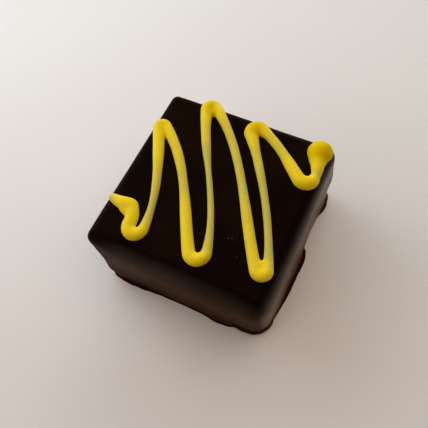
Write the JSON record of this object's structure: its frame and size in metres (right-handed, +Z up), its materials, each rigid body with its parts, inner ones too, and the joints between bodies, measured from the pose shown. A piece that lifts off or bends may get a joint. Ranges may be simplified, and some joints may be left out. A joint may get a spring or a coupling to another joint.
{
  "type": "chocolate-coated caramel candy",
  "caption": "Square caramel candy coated in dark chocolate, with a flat top, soft edges, a thin foot and a piped zigzag of yellow icing.",
  "frame": {"origin": "middle of the flat underside, on the surface that the candy stands on", "axes": "+Z up; the sides at -Y and +X are the two that the picture shows, and the icing runs from its thin tail at the -X side to its blob at the +X +Y corner"},
  "size_m": [0.031, 0.0318, 0.0189],
  "materials": {
    "dark_chocolate": "satin dark chocolate with soft reflections",
    "yellow_icing": "smooth set icing with a soft sheen"
  },
  "bodies": {
    "root": {"enrobed_caramel": "dark_chocolate"}
  },
  "joints": []
}
